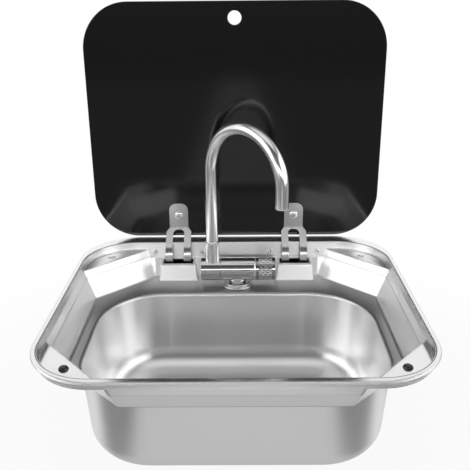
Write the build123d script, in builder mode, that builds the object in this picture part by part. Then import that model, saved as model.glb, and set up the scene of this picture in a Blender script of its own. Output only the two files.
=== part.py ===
"""Drop-in caravan sink with a black glass lid, a folding spout tap and a plug waste.

Millimetres. X runs to the right, Y to the back, Z up.
The origin is the centre of the rim on the worktop surface.
The lid stands open and the spout is raised, as the sink is used.
"""
from build123d import *
from math import acos, atan2, cos, degrees, hypot, pi, radians, sin, tan
import os

os.makedirs("parts", exist_ok=True)

# ---------------------------------------------------------------- clearances
running_gap = 0.05          # radial gap of a shaft that turns in its hole
slide_gap = 0.3             # gap between faces that pass each other
hole_gap = 0.15             # radial gap of a fastener in its hole

# ---------------------------------------------------------------- pressed sink
sheet = 1.0
rim_width = 420.0
rim_depth = 370.0
rim_corner = 75.0
rim_height = 2.8            # crown of the rim above the worktop
rim_edge = 0.4              # lower edge of the rim above the worktop
rim_roll = 2.3              # rounding of the rim's outer edge
rim_lip = 1.2               # rounding of the rim's inner edge
recess_clear = 5.0          # how far the pressing form stands above the rim
rim_side = 7.0              # rim width at the sides
rim_front = 9.0
rim_back = 24.0
recess_corner = 63.5
worktop_overlap = 4.5       # how far the rim lies over the edge of the cut-out

gusset_z = -8.6             # flat corner plates that carry the glass
fold_z = -20.0              # where the tray wall starts to slope
pad_z = -21.5               # top of the hinge pads
ledge_z = -47.0             # flat ledge round the basin
floor_z = -149.0            # basin floor
gusset_reach_front = 79.0   # corner cut of the tray, measured along X
gusset_rise_front = 85.0    # the same, along Y
gusset_reach_back = 75.5
gusset_rise_back = 72.0
fold_inset = 3.4
tray_slope_side = 15.0      # from the recess to the ledge's edge, seen from above
tray_slope_front = 24.0
tray_slope_back = 9.0
ledge_cut_x = 71.0
ledge_cut_y = 68.0
crease = 4.0                # rounding of the tray's upright creases
ledge_side = 15.0           # ledge left beside the basin
ledge_front = 12.0
ledge_back = 54.0           # ledge that carries the tap
basin_corner = 80.0
basin_draft = 3.5           # degrees
basin_floor_round = 27.0
basin_lip = 3.5
tray_round = 3.0

bumper_inset_x = 32.0       # from the recess
bumper_inset_y = 33.0
bumper_diameter = 10.5
bumper_height = 3.0
bumper_round = 1.8
bumper_stem = 4.0
bumper_stem_length = 2.5
pip_inset_x = 29.0          # from the recess
pip_inset_y = 24.0
pip_diameter = 9.0
pip_height = 1.2
pip_round = 0.8

# ---------------------------------------------------------------- glass lid
glass_thickness = 5.0
glass_gap = 2.25            # gap from the glass to the recess at the sides and front
glass_back_gap = 14.0       # gap behind the closed glass, where the straps pass
glass_seam = 0.8            # bevel of the ground edges
lid_lean = 2.0              # degrees that the open lid leans back
finger_hole = 18.0
finger_hole_inset = 21.0

# ---------------------------------------------------------------- hinges
hinge_x = 82.3
hinge_setback = 7.6         # pivot behind the back wall
hinge_drop = 17.3           # pivot below the worktop surface
strap_sheet = 1.5
strap_sweep = 22.8          # radius of the strap's curved neck about the pivot
strap_width = 35.5
strap_leg = 9.75
tab_width = 26.7
tab_top = 49.0              # above the lower edge of the glass
tab_fold = 12.5
tab_screw = 31.5
tab_round = 10.0
strap_bend = 2.0            # centre-line radius of the strap's sharp bends
flare_length = 7.0
arch_start = 3.0            # below the fold, where the gap between the legs begins
pad_sheet = 0.8             # rubber between the strap and the glass
pad_margin = 0.6
neck_end = 197.0            # degrees about the pivot where the curved neck ends
hook_back = 2.1             # hook corner ahead of the pivot
hook_drop = 7.3             # hook corner below the pivot
hinge_pin = 4.0
eye_wall = 2.0
slot_width = 42.0
slot_depth = 18.0
slot_wall_gap = 1.5         # from the slot to the back wall
hinge_pad_top_half = 24.0
hinge_pad_foot_half = 28.5
hinge_pad_top_reach = 23.0  # from the back wall
hinge_pad_foot_reach = 25.0
hinge_pad_round = 2.5
bracket_sheet = 1.5
bracket_edge = 4.5          # from a rivet's middle to the bracket's end
bracket_top = -4.0
bracket_foot = -20.5
bracket_round = 3.0
ear_sheet = 1.2
ear_round = 5.5
ear_gap = 0.45              # from the strap's edge to the ear
pin_head = 6.0
pin_head_height = 0.5
rivet_span = 67.0
rivet_z = -12.0
rivet_shank = 3.2
rivet_head = 5.6
rivet_rise = 1.4
housing_wall = 1.2
housing_floor = -44.8
housing_reach = 10.4        # behind the pivot
housing_slot_gap = 1.3      # from the slot's front edge to the housing
housing_top = -5.0
housing_tab_height = 10.0
housing_gap = 0.4           # from the pin heads to the housing

# ---------------------------------------------------------------- lid fixing
lid_screw = 5.0
lid_screw_head = 9.5
lid_screw_rise = 2.4
lid_screw_round = 1.8
cross_length = 5.2
cross_width = 1.1
cross_depth = 1.3
bush_wall = 1.5
cap_diameter = 20.0
cap_height = 3.0
cap_round = 1.0
cap_socket = 2.2

# ---------------------------------------------------------------- tap
tap_x = 1.5
tap_setback = 26.0          # from the ledge's back edge
tap_z = -22.8               # axis of the horizontal valve body
valve_diameter = 31.4
valve_edge = 0.5            # bevel at the ends of the valve body and the sleeve
body_length = 46.0
sleeve_length = 27.0
knob_length = 27.5
ring_length = 2.0
ring_tube_length = 14.0     # bearing of the knob
journal_diameter = 22.0
journal_length = 23.0
chamber_width = 8.0         # water chamber round the journal
chamber_depth = 1.2
outlet_bore = 7.0
inlet_bore = 5.0
inlet_offset = 7.5          # inlet gallery below the valve axis
outlet_end = 4.0            # closed wall at the journal's end
seal_width_journal = 2.4
seal_depth_journal = 1.6
seal_offset = 8.2           # journal seals on both sides of the collar
seal_slack = 0.2
rosette_diameter = 43.0
rosette_step = 3.0
rosette_upper = 37.0
rosette_rise = 2.6
rosette_dish = 28.0
rosette_dish_depth = 1.0
rosette_round = 1.0
neck_diameter = 24.0
shank_diameter = 20.0
shank_length = 34.0         # below the underside of the ledge
shank_bore = 6.0
tap_hole = 22.0
foot_seal_height = 0.8
foot_seal_margin = 1.0
lock_nut_flats = 30.0
lock_nut_height = 8.0
thread_gap = 0.02           # radial gap where a thread is not modelled
under_washer_height = 3.0
under_washer_diameter = 34.0
nozzle_spigot = 8.0
nozzle_spigot_length = 8.0
nozzle_flange = 15.0
nozzle_flange_height = 3.0
nozzle_diameter = 10.0
nozzle_length = 22.0
nozzle_bore = 6.0
nozzle_edge = 0.6

collar_x = -32.6
collar_diameter = 20.4
collar_top = 19.3
collar_edge = 1.2
collar_water_bore = 10.0
collar_seat_gap = 0.02
collar_screw_z = 13.5
collar_screw_diameter = 3.2
collar_screw_head = 4.4
collar_screw_rise = 0.6
pipe_diameter = 16.5
pipe_bore = 13.5
pipe_foot = -5.0
pipe_bend_z = 119.0         # where the straight leg meets the arch
arch_radius = 63.6
arch_turn = -46.3           # degrees from +X towards the front
pipe_tail = 21.0
pipe_groove = 0.7
pipe_groove_width = 3.9
pipe_seal_z = 0.0
pipe_seal_width = 2.4
aerator_length = 9.0
aerator_flange = 15.6
aerator_reach = 1.5
aerator_bore = 10.5
mesh_pitch = 2.2
mesh_hole = 1.5

knob_flutes = 24
flute_radius = 1.0
flute_depth = 0.35
flute_start = 3.5           # from the knob's left end
flute_length = 19.0
knob_bore = 24.0
knob_web = 4.0
knob_cap_diameter = 22.0
knob_cap_height = 2.0
knob_edge = 0.9
spindle_diameter = 8.0
spindle_socket = 2.0
disc_diameter = 21.0
disc_height = 2.5
disc_pocket_slack = 1.0
disc_slot_depth = 1.4

# ---------------------------------------------------------------- waste
drain_dish_diameter = 78.0
drain_dish_depth = 3.0
drain_dish_slope = 30.0     # degrees
drain_flange_diameter = 70.0
drain_flange_sheet = 1.5
drain_tube = 54.0
drain_tube_wall = 2.0
drain_tube_length = 20.0    # below the dish
drain_seat_depth = 5.5      # seat of the plug below the flange's top
drain_seat_width = 5.0
drain_seat_sheet = 1.5
drain_bar = 2.0
drain_seal_height = 2.0
drain_seal_width = 7.0
drain_nut_height = 8.0
drain_nut_wall = 9.0
drain_nut_lugs = 6
drain_lug_width = 8.0
drain_lug_rise = 2.5
cup_wall = 3.5
cup_funnel = 12.0
tail_diameter = 25.0
tail_bore = 20.0
tail_length = 22.0
tail_edge = 1.0
plug_gap = 1.5
plug_seal_height = 2.0
plug_disc_height = 3.0
plug_pull_diameter = 14.0
plug_pull_waist = 8.0
plug_pull_height = 12.0
plug_pull_cap = 4.0

# ---------------------------------------------------------------- derived places
recess_half_x = rim_width / 2 - rim_side
recess_front = -rim_depth / 2 + rim_front
recess_back = rim_depth / 2 - rim_back
recess_depth = recess_back - recess_front
recess_mid = (recess_back + recess_front) / 2
recess_top = rim_height + recess_clear
ledge_half_x = recess_half_x - tray_slope_side
ledge_y_front = recess_front + tray_slope_front
ledge_y_back = recess_back - tray_slope_back
basin_half_x = ledge_half_x - ledge_side
basin_y_front = ledge_y_front + ledge_front
basin_y_back = ledge_y_back - ledge_back
basin_mid = (basin_y_front + basin_y_back) / 2
basin_depth = basin_y_back - basin_y_front
bumper_x = recess_half_x - bumper_inset_x
bumper_y = recess_front + bumper_inset_y
pip_x = recess_half_x - pip_inset_x
pip_y = recess_back - pip_inset_y
slot_y_back = recess_back - slot_wall_gap
slot_y_front = slot_y_back - slot_depth
tap_y = ledge_y_back - tap_setback
hinge_y = recess_back + sheet + hinge_setback
hinge_z = -hinge_drop
pad_y_top = recess_back - hinge_pad_top_reach
pad_y_foot = recess_back - hinge_pad_foot_reach
glass_width = 2 * (recess_half_x - glass_gap)
glass_corner = recess_corner - glass_gap
closed_front = recess_front + glass_gap
closed_back = recess_back - glass_back_gap
glass_depth = closed_back - closed_front
closed_under = gusset_z + bumper_height + slide_gap
lid_travel = 90.0 + lid_lean


def opened(y, z):
    """Place, with the lid open, of a point given with the lid closed."""
    turn = radians(-lid_travel)
    dy, dz = y - hinge_y, z - hinge_z
    return hinge_y + dy * cos(turn) - dz * sin(turn), hinge_z + dy * sin(turn) + dz * cos(turn)


# Face of the open glass that looks forward: x to the right, y up the glass, z out of the face.
glass_foot_y, glass_foot_z = opened(closed_back, closed_under)
glass_plane = Plane(
    origin=(0, glass_foot_y, glass_foot_z),
    x_dir=(1, 0, 0),
    z_dir=(0, -cos(radians(lid_lean)), sin(radians(lid_lean))),
)


def on_glass(x, height, out=0.0):
    """Plane parallel to the glass at a place on its front face."""
    centre = glass_plane.from_local_coords((x, height, out))
    return Plane(origin=centre, x_dir=glass_plane.x_dir, z_dir=glass_plane.z_dir)


# ================================================================ pressed sink
def octagon(half_x, front, back, front_cut, back_cut, grow):
    """Corner points of a tray outline, with its sides moved out by grow."""
    side, near, far = half_x + grow, front - grow, back + grow
    slack = grow * tan(radians(22.5))
    fx, fy = front_cut[0] - slack + grow, front_cut[1] - slack + grow
    bx, by = back_cut[0] - slack + grow, back_cut[1] - slack + grow
    return [
        (side, near + fy), (side, far - by), (side - bx, far), (-side + bx, far),
        (-side, far - by), (-side, near + fy), (-side + fx, near), (side - fx, near),
    ]


front_cut_top = (gusset_reach_front, gusset_rise_front)
back_cut_top = (gusset_reach_back, gusset_rise_back)
ledge_cut = (ledge_cut_x, ledge_cut_y)


def tray_outline(level, grow, z):
    """Face at height z with the tray's outline at one of its three levels: gusset, fold or ledge."""
    if level == "gusset":
        shape = (recess_half_x, recess_front, recess_back, front_cut_top, back_cut_top)
    elif level == "fold":
        shape = (recess_half_x - fold_inset, recess_front + fold_inset, recess_back,
                 front_cut_top, back_cut_top)
    else:
        shape = (ledge_half_x, ledge_y_front, ledge_y_back, ledge_cut, ledge_cut)
    with BuildSketch(Plane.XY.offset(z)) as outline:
        Polygon(*octagon(*shape, grow), align=None)
        fillet(outline.vertices(), crease + grow)
    return outline.sketch


def pad_outline(side, half, front, grow, z):
    """Face at height z through a hinge pad."""
    far = recess_back + 2 * sheet
    with BuildSketch(Plane.XY.offset(z)) as outline:
        with Locations((side * hinge_x, (front + grow + far) / 2)):
            Rectangle(2 * (half - grow), far - front - grow)
    return outline.sketch


def hinge_pads(grow):
    """Raised boxes that carry the hinge slots, thinner by grow on the lower face of the sheet."""
    with BuildPart() as pads:
        for side in (-1, 1):
            foot = pad_outline(side, hinge_pad_foot_half, pad_y_foot, grow, ledge_z - 3 * sheet)
            top = pad_outline(side, hinge_pad_top_half, pad_y_top, grow, pad_z - grow)
            loft([foot, top], ruled=True)
        upright = [e for e in pads.edges() if e.bounding_box().size.Z > 1 and e.center().Y < recess_back]
        rims = [e for e in pads.edges() if e.center().Z > pad_z - 2 * sheet and e.center().Y < recess_back]
        fillet(upright + rims, hinge_pad_round - grow)
    return pads.part


def pressing(grow):
    """Hollow of the sink as a solid: grow 0 is the upper face of the sheet, grow sheet the lower."""
    pads = hinge_pads(grow)
    with BuildPart() as form:
        with BuildSketch(Plane.XY.offset(gusset_z - grow)):
            with Locations((0, recess_mid)):
                RectangleRounded(2 * (recess_half_x + grow), recess_depth + 2 * grow, recess_corner + grow)
        extrude(amount=recess_top - gusset_z + grow)
        upper = tray_outline("gusset", grow, gusset_z - grow)
        middle = tray_outline("fold", grow, fold_z)
        lower = tray_outline("ledge", grow, ledge_z - grow)
        loft([upper, middle], ruled=True)
        loft([middle, lower], ruled=True)
        fillet(form.faces().sort_by(Axis.Z)[0].edges(), tray_round + grow)
        add(pads, mode=Mode.SUBTRACT)
        with BuildSketch(Plane.XY.offset(ledge_z - grow)):
            with Locations((0, basin_mid)):
                RectangleRounded(2 * (basin_half_x + grow), basin_depth + 2 * grow, basin_corner + grow)
        extrude(amount=floor_z - ledge_z, taper=basin_draft)
        fillet(form.faces().sort_by(Axis.Z)[0].edges(), basin_floor_round + grow)
        with BuildSketch(Plane.XY.offset(floor_z - grow)):
            with Locations((0, basin_mid)):
                Circle(drain_dish_diameter / 2 + grow)
        extrude(amount=-drain_dish_depth, taper=drain_dish_slope)
        level = ledge_z - grow
        lip = [
            e for e in form.edges().filter_by_position(Axis.Z, level - 0.01, level + 0.01)
            if abs(e.center().X) <= basin_half_x + 2 and abs(e.center().Y - basin_mid) <= basin_depth / 2 + 2
        ]
        fillet(lip, basin_lip - grow)
    return form.part


dish_floor = floor_z - drain_dish_depth
wall_rear = recess_back + sheet
bracket_width = rivet_span + 2 * bracket_edge
slot_middle = (slot_y_front + slot_y_back) / 2
rivet_places = [side * hinge_x + end * rivet_span / 2 for side in (-1, 1) for end in (-1, 1)]
sides = ((-1, "left"), (1, "right"))
on_base = (Align.CENTER, Align.CENTER, Align.MIN)
upper_form = pressing(0)
lower_form = pressing(sheet)


def upright(radius, bottom, top, x, y, mode=Mode.ADD):
    """Round bar along Z in the part that is being built."""
    with Locations((x, y, bottom)):
        Cylinder(radius, top - bottom, align=on_base, mode=mode)


def along_x(radius, start, end, y, z, mode=Mode.ADD):
    """Round bar along X in the part that is being built."""
    with Locations(Location((start, y, z), (0, 90, 0))):
        Cylinder(radius, end - start, align=on_base, mode=mode)


def along_y(radius, start, end, x, z, mode=Mode.ADD):
    """Round bar along Y in the part that is being built."""
    with Locations(Location((x, start, z), (-90, 0, 0))):
        Cylinder(radius, end - start, align=on_base, mode=mode)


with BuildPart() as rim_hollow:
    with BuildSketch():
        RectangleRounded(rim_width - 2 * sheet, rim_depth - 2 * sheet, rim_corner - sheet)
    extrude(amount=rim_height - sheet)
    fillet(rim_hollow.faces().sort_by(Axis.Z)[-1].edges(), rim_roll - sheet)

with BuildPart() as tray_blank:
    add(lower_form)
    with BuildSketch(Plane.XY.offset(rim_height - sheet / 2)):
        Rectangle(2 * rim_width, 2 * rim_depth)
    extrude(amount=recess_top, mode=Mode.SUBTRACT)

with BuildPart() as sink_bowl:
    with BuildSketch(Plane.XY.offset(rim_edge)):
        RectangleRounded(rim_width, rim_depth, rim_corner)
    extrude(amount=rim_height - rim_edge)
    fillet(sink_bowl.faces().sort_by(Axis.Z)[-1].edges(), rim_roll)
    add(rim_hollow.part, mode=Mode.SUBTRACT)
    add(tray_blank.part)
    add(upper_form, mode=Mode.SUBTRACT)
    fillet(sink_bowl.faces().sort_by(Axis.Z)[-1].inner_wires()[0].edges(), rim_lip)
    for side in (-1, 1):
        upright(pip_diameter / 2, gusset_z - sheet / 2, gusset_z + pip_height, side * pip_x, pip_y)
        bumper_hole = bumper_stem / 2 + hole_gap
        below = gusset_z - 2 * sheet
        upright(bumper_hole, below, gusset_z + sheet, side * bumper_x, bumper_y, Mode.SUBTRACT)
        with Locations((side * hinge_x, slot_middle, pad_z - 2 * sheet)):
            Box(slot_width, slot_depth, 3 * sheet, align=on_base, mode=Mode.SUBTRACT)
    pips = [e for e in sink_bowl.edges() if abs(e.center().Z - gusset_z - pip_height) < hole_gap
            and abs(e.length - pi * pip_diameter) < 1]
    fillet(pips, pip_round)
    for x in rivet_places:
        along_y(rivet_shank / 2 + hole_gap, recess_back - sheet, wall_rear + sheet, x, rivet_z, Mode.SUBTRACT)
    upright(tap_hole / 2, ledge_z - 2 * sheet, ledge_z + sheet, tap_x, tap_y, Mode.SUBTRACT)
    tube_hole = drain_tube / 2 + hole_gap
    upright(tube_hole, dish_floor - 2 * sheet, dish_floor + sheet, 0, basin_mid, Mode.SUBTRACT)
sink_bowl.part.label = "sink_bowl"
export_step(sink_bowl.part, "parts/sink_bowl.step")

seal_inset = rim_roll + hole_gap
seal_inner = worktop_overlap

with BuildPart() as rim_seal:
    with BuildSketch():
        RectangleRounded(rim_width - 2 * seal_inset, rim_depth - 2 * seal_inset, rim_corner - seal_inset)
        RectangleRounded(
            rim_width - 2 * seal_inner, rim_depth - 2 * seal_inner, rim_corner - seal_inner,
            mode=Mode.SUBTRACT,
        )
    extrude(amount=rim_height - sheet)
rim_seal.part.label = "rim_seal"
export_step(rim_seal.part, "parts/rim_seal.step")

with BuildPart() as glass_bumpers:
    for side in (-1, 1):
        upright(bumper_diameter / 2, gusset_z, gusset_z + bumper_height, side * bumper_x, bumper_y)
    fillet(glass_bumpers.edges().group_by(Axis.Z)[-1], bumper_round)
    for side in (-1, 1):
        upright(bumper_stem / 2, gusset_z - bumper_stem_length, gusset_z, side * bumper_x, bumper_y)
glass_bumpers.part.label = "glass_bumpers"
export_step(glass_bumpers.part, "parts/glass_bumpers.step")

# ================================================================ hinges
ear_inner = strap_width / 2 + ear_gap
ear_outer = ear_inner + ear_sheet
housing_inner = ear_outer + pin_head_height + housing_gap
housing_half = housing_inner + housing_wall
housing_tab = bracket_width / 2 - housing_inner
plate_rear = wall_rear + bracket_sheet
tab_rear = plate_rear + housing_wall
housing_step = pad_z - sheet - slide_gap
housing_back = hinge_y + housing_reach
housing_front = slot_y_front + housing_slot_gap
arch_half = strap_width / 2 - strap_leg


def neck_point(angle):
    """Point on the strap's curved neck, by its angle about the hinge pivot, as (y, z)."""
    return hinge_y + strap_sweep * cos(radians(angle)), hinge_z + strap_sweep * sin(radians(angle))


# The strap leaves the glass at the fold and runs straight onto its curved neck.
strap_middle = pad_sheet + strap_sheet / 2
tab_end = glass_plane.from_local_coords((0, tab_top, strap_middle))
fold = glass_plane.from_local_coords((0, tab_fold, strap_middle))
fold_reach = hypot(fold.Y - hinge_y, fold.Z - hinge_z)
fold_angle = degrees(atan2(fold.Z - hinge_z, fold.Y - hinge_y))
neck_start = fold_angle + degrees(acos(strap_sweep / fold_reach))
slope_length = (fold_reach**2 - strap_sweep**2) ** 0.5
neck_top = neck_point(neck_start)
neck_foot = neck_point(neck_end)
hook = (hinge_y - hook_back, hinge_z - hook_drop)
slope_down = Vector(0, neck_top[0] - fold.Y, neck_top[1] - fold.Z).normalized()
gap_top = hinge_z + strap_sweep * sin(radians(neck_start + 15))

for side, name in sides:
    centre = side * hinge_x
    with BuildPart() as hinge_bracket:
        with BuildSketch(Plane.XZ.offset(-plate_rear)):
            with Locations((centre, (bracket_top + bracket_foot) / 2)):
                RectangleRounded(bracket_width, bracket_top - bracket_foot, bracket_round)
            with Locations((centre - rivet_span / 2, rivet_z), (centre + rivet_span / 2, rivet_z)):
                Circle(rivet_shank / 2 + hole_gap, mode=Mode.SUBTRACT)
        extrude(amount=bracket_sheet)
        for ear in (-1, 1):
            with BuildSketch(Plane.YZ.offset(centre + ear * (ear_inner + ear_outer) / 2)):
                with Locations(((wall_rear + hinge_y) / 2, hinge_z)):
                    Rectangle(hinge_y - wall_rear, 2 * ear_round - bracket_sheet)
                with Locations((hinge_y, hinge_z)):
                    Circle(ear_round)
                    Circle(hinge_pin / 2 + running_gap, mode=Mode.SUBTRACT)
            extrude(amount=ear_sheet / 2, both=True)
    hinge_bracket.part.label = f"hinge_bracket_{name}"
    export_step(hinge_bracket.part, f"parts/hinge_bracket_{name}.step")

    with BuildPart() as pivot_pin:
        along_x(hinge_pin / 2, centre - ear_outer, centre + ear_outer, hinge_y, hinge_z)
        for end in (-1, 1):
            head = centre + end * (ear_outer + pin_head_height / 2)
            along_x(pin_head / 2, head - pin_head_height / 2, head + pin_head_height / 2, hinge_y, hinge_z)
    pivot_pin.part.label = f"hinge_pin_{name}"
    export_step(pivot_pin.part, f"parts/hinge_pin_{name}.step")

    with BuildPart() as hinge_housing:
        with BuildSketch(Plane.YZ.offset(centre)):
            Polygon(
                (housing_front, housing_floor), (housing_back, housing_floor),
                (housing_back, housing_top), (plate_rear, housing_top),
                (plate_rear, housing_step), (housing_front, housing_step),
                align=None,
            )
        extrude(amount=housing_half, both=True)
        with BuildSketch(Plane.YZ.offset(centre)):
            Polygon(
                (housing_front + housing_wall, housing_floor + housing_wall),
                (housing_back - housing_wall, housing_floor + housing_wall),
                (housing_back - housing_wall, 0), (wall_rear, 0),
                (wall_rear, pad_z), (housing_front + housing_wall, pad_z),
                align=None,
            )
        extrude(amount=housing_inner, both=True, mode=Mode.SUBTRACT)
        for end in (-1, 1):
            with BuildSketch(Plane.XZ.offset(-tab_rear)):
                with Locations((centre + end * (housing_inner + housing_tab / 2), rivet_z)):
                    Rectangle(housing_tab, housing_tab_height)
                with Locations((centre + end * rivet_span / 2, rivet_z)):
                    Circle(rivet_shank / 2 + hole_gap, mode=Mode.SUBTRACT)
            extrude(amount=housing_wall)
    hinge_housing.part.label = f"hinge_housing_{name}"
    export_step(hinge_housing.part, f"parts/hinge_housing_{name}.step")

    with BuildPart() as hinge_strap:
        with BuildSketch(Plane.YZ.offset(centre)):
            with BuildLine() as run:
                Polyline((tab_end.Y, tab_end.Z), (fold.Y, fold.Z), neck_top)
                CenterArc((hinge_y, hinge_z), strap_sweep, neck_start, neck_end - neck_start)
                Polyline(neck_foot, hook, (hinge_y, hinge_z))
                bends = [(fold.Y, fold.Z), neck_foot, hook]
                fillet([v for v in run.vertices() if (v.X, v.Y) in bends], strap_bend)
            trace(line_width=strap_sheet)
            with Locations((hinge_y, hinge_z)):
                Circle(hinge_pin / 2 + eye_wall)
        extrude(amount=strap_width / 2, both=True)
        with BuildSketch(on_glass(centre, tab_fold, pad_sheet - slide_gap)):
            with Locations((0, tab_top - tab_fold)):
                Rectangle(2 * strap_width, 2 * (tab_top - tab_fold))
            RectangleRounded(tab_width, 2 * (tab_top - tab_fold), tab_round, mode=Mode.SUBTRACT)
            with Locations((0, tab_screw - tab_fold)):
                Circle(lid_screw / 2 + hole_gap)
        extrude(amount=2 * strap_sheet, mode=Mode.SUBTRACT)
        slope_plane = Plane(
            origin=(centre, fold.Y, fold.Z), x_dir=(1, 0, 0), z_dir=Vector(1, 0, 0).cross(slope_down)
        )
        with BuildSketch(slope_plane):
            for edge in (-1, 1):
                Polygon(
                    (edge * tab_width / 2, -strap_sheet), (edge * tab_width / 2, 0),
                    (edge * strap_width / 2, flare_length), (edge * strap_width, flare_length),
                    (edge * strap_width, -strap_sheet),
                    align=None,
                )
            with Locations((0, arch_start + arch_half)):
                Circle(arch_half)
            with Locations((0, (arch_start + arch_half + slope_length + arch_half) / 2)):
                Rectangle(2 * arch_half, slope_length - arch_start)
        extrude(amount=2 * strap_sheet, both=True, mode=Mode.SUBTRACT)
        with BuildSketch(Plane.YZ.offset(centre)):
            Polygon(
                (slot_y_front, housing_floor), (housing_back, housing_floor),
                (housing_back, gap_top), (slot_y_front, gap_top),
                align=None,
            )
        extrude(amount=arch_half, both=True, mode=Mode.SUBTRACT)
        bore = hinge_pin / 2 + running_gap
        along_x(bore, centre - strap_width, centre + strap_width, hinge_y, hinge_z, Mode.SUBTRACT)
    hinge_strap.part.label = f"hinge_strap_{name}"
    export_step(hinge_strap.part, f"parts/hinge_strap_{name}.step")

with BuildPart() as hinge_rivets:
    for x in rivet_places:
        along_y(rivet_head / 2, recess_back - rivet_rise, recess_back, x, rivet_z)
        along_y(rivet_head / 2, tab_rear, tab_rear + rivet_rise, x, rivet_z)
    ends = hinge_rivets.edges().group_by(Axis.Y)
    fillet(ends[0] + ends[-1], rivet_rise * 0.8)
    for x in rivet_places:
        along_y(rivet_shank / 2, recess_back - sheet / 2, tab_rear + sheet / 2, x, rivet_z)
hinge_rivets.part.label = "hinge_rivets"
export_step(hinge_rivets.part, "parts/hinge_rivets.step")

# ================================================================ glass lid
bush_bore = lid_screw / 2 + hole_gap
bush_outer = bush_bore + bush_wall
glass_normal = Axis(glass_plane.origin, glass_plane.z_dir)

with BuildPart() as lid_glass:
    with BuildSketch(glass_plane):
        with Locations((0, glass_depth / 2)):
            RectangleRounded(glass_width, glass_depth, glass_corner)
        with Locations((0, glass_depth - finger_hole_inset)):
            Circle(finger_hole / 2, mode=Mode.SUBTRACT)
        with Locations((-hinge_x, tab_screw), (hinge_x, tab_screw)):
            Circle(bush_outer + hole_gap, mode=Mode.SUBTRACT)
    extrude(amount=-glass_thickness)
    glass_faces = lid_glass.faces().sort_by(glass_normal)
    rims = [e for e in glass_faces[0].edges() + glass_faces[-1].edges() if e.length > finger_hole * 3]
    chamfer(rims, glass_seam)
lid_glass.part.label = "lid_glass"
export_step(lid_glass.part, "parts/lid_glass.step")

strap_pad_foot = tab_fold + strap_bend

with BuildPart() as strap_pads:
    for side in (-1, 1):
        with BuildSketch(on_glass(side * hinge_x, 0)):
            with Locations((0, (strap_pad_foot + tab_top - pad_margin) / 2)):
                RectangleRounded(
                    tab_width - 2 * pad_margin, tab_top - pad_margin - strap_pad_foot,
                    tab_round - pad_margin,
                )
            with Locations((0, tab_screw)):
                Circle(bush_bore, mode=Mode.SUBTRACT)
        extrude(amount=pad_sheet)
strap_pads.part.label = "strap_pads"
export_step(strap_pads.part, "parts/strap_pads.step")

with BuildPart() as strap_bushes:
    for side in (-1, 1):
        with BuildSketch(on_glass(side * hinge_x, tab_screw)):
            Circle(bush_outer)
            Circle(bush_bore, mode=Mode.SUBTRACT)
        extrude(amount=-glass_thickness)
strap_bushes.part.label = "strap_bushes"
export_step(strap_bushes.part, "parts/strap_bushes.step")

head_seat = pad_sheet + strap_sheet

with BuildPart() as strap_screws:
    for side in (-1, 1):
        with BuildSketch(on_glass(side * hinge_x, tab_screw, head_seat)):
            Circle(lid_screw_head / 2)
        extrude(amount=lid_screw_rise)
    fillet(strap_screws.edges().group_by(glass_normal)[-1], lid_screw_round)
    for side in (-1, 1):
        with BuildSketch(on_glass(side * hinge_x, tab_screw, head_seat)):
            Circle(lid_screw / 2)
        extrude(amount=hole_gap - head_seat - glass_thickness - cap_socket)
        with BuildSketch(on_glass(side * hinge_x, tab_screw, head_seat + lid_screw_rise)):
            Rectangle(cross_length, cross_width)
            Rectangle(cross_width, cross_length)
        extrude(amount=-cross_depth, mode=Mode.SUBTRACT)
strap_screws.part.label = "strap_screws"
export_step(strap_screws.part, "parts/strap_screws.step")

with BuildPart() as glass_caps:
    for side in (-1, 1):
        with BuildSketch(on_glass(side * hinge_x, tab_screw, -glass_thickness)):
            Circle(cap_diameter / 2)
        extrude(amount=-cap_height)
    fillet(glass_caps.edges().group_by(glass_normal)[0], cap_round)
    for side in (-1, 1):
        with BuildSketch(on_glass(side * hinge_x, tab_screw, -glass_thickness)):
            Circle(bush_bore)
        extrude(amount=-cap_socket, mode=Mode.SUBTRACT)
glass_caps.part.label = "glass_caps"
export_step(glass_caps.part, "parts/glass_caps.step")

# ================================================================ tap
valve_radius = valve_diameter / 2
journal_radius = journal_diameter / 2
body_left = tap_x - body_length / 2
body_right = tap_x + body_length / 2
ring_right = body_right + ring_length
knob_left = ring_right + slide_gap
knob_right = ring_right + knob_length
sleeve_left = body_left - sleeve_length
journal_left = body_left - journal_length
under_ledge = ledge_z - sheet
seal_top = ledge_z + foot_seal_height
rosette_mid = seal_top + rosette_step
rosette_top = rosette_mid + rosette_rise
neck_foot_z = rosette_top - rosette_dish_depth
shank_radius = shank_diameter / 2
shank_foot = under_ledge - shank_length
washer_foot = under_ledge - under_washer_height
pocket_floor = body_right - 2 * disc_height - disc_pocket_slack
inlet_z = tap_z - inlet_offset
disc_radius = disc_diameter / 2

with BuildPart() as tap_rosette:
    upright(rosette_diameter / 2, seal_top, rosette_mid, tap_x, tap_y)
    fillet(tap_rosette.edges().group_by(Axis.Z)[-1], rosette_round)
    upright(rosette_upper / 2, seal_top, rosette_top, tap_x, tap_y)
    fillet(tap_rosette.edges().group_by(Axis.Z)[-1], rosette_round)
    upright(rosette_dish / 2, neck_foot_z, rosette_top, tap_x, tap_y, Mode.SUBTRACT)
    upright(shank_radius + hole_gap, seal_top, rosette_top, tap_x, tap_y, Mode.SUBTRACT)
tap_rosette.part.label = "tap_rosette"
export_step(tap_rosette.part, "parts/tap_rosette.step")

with BuildPart() as tap_foot_seal:
    upright(rosette_diameter / 2 - foot_seal_margin, ledge_z, seal_top, tap_x, tap_y)
    upright(shank_radius + hole_gap, ledge_z, seal_top, tap_x, tap_y, Mode.SUBTRACT)
tap_foot_seal.part.label = "tap_foot_seal"
export_step(tap_foot_seal.part, "parts/tap_foot_seal.step")

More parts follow.
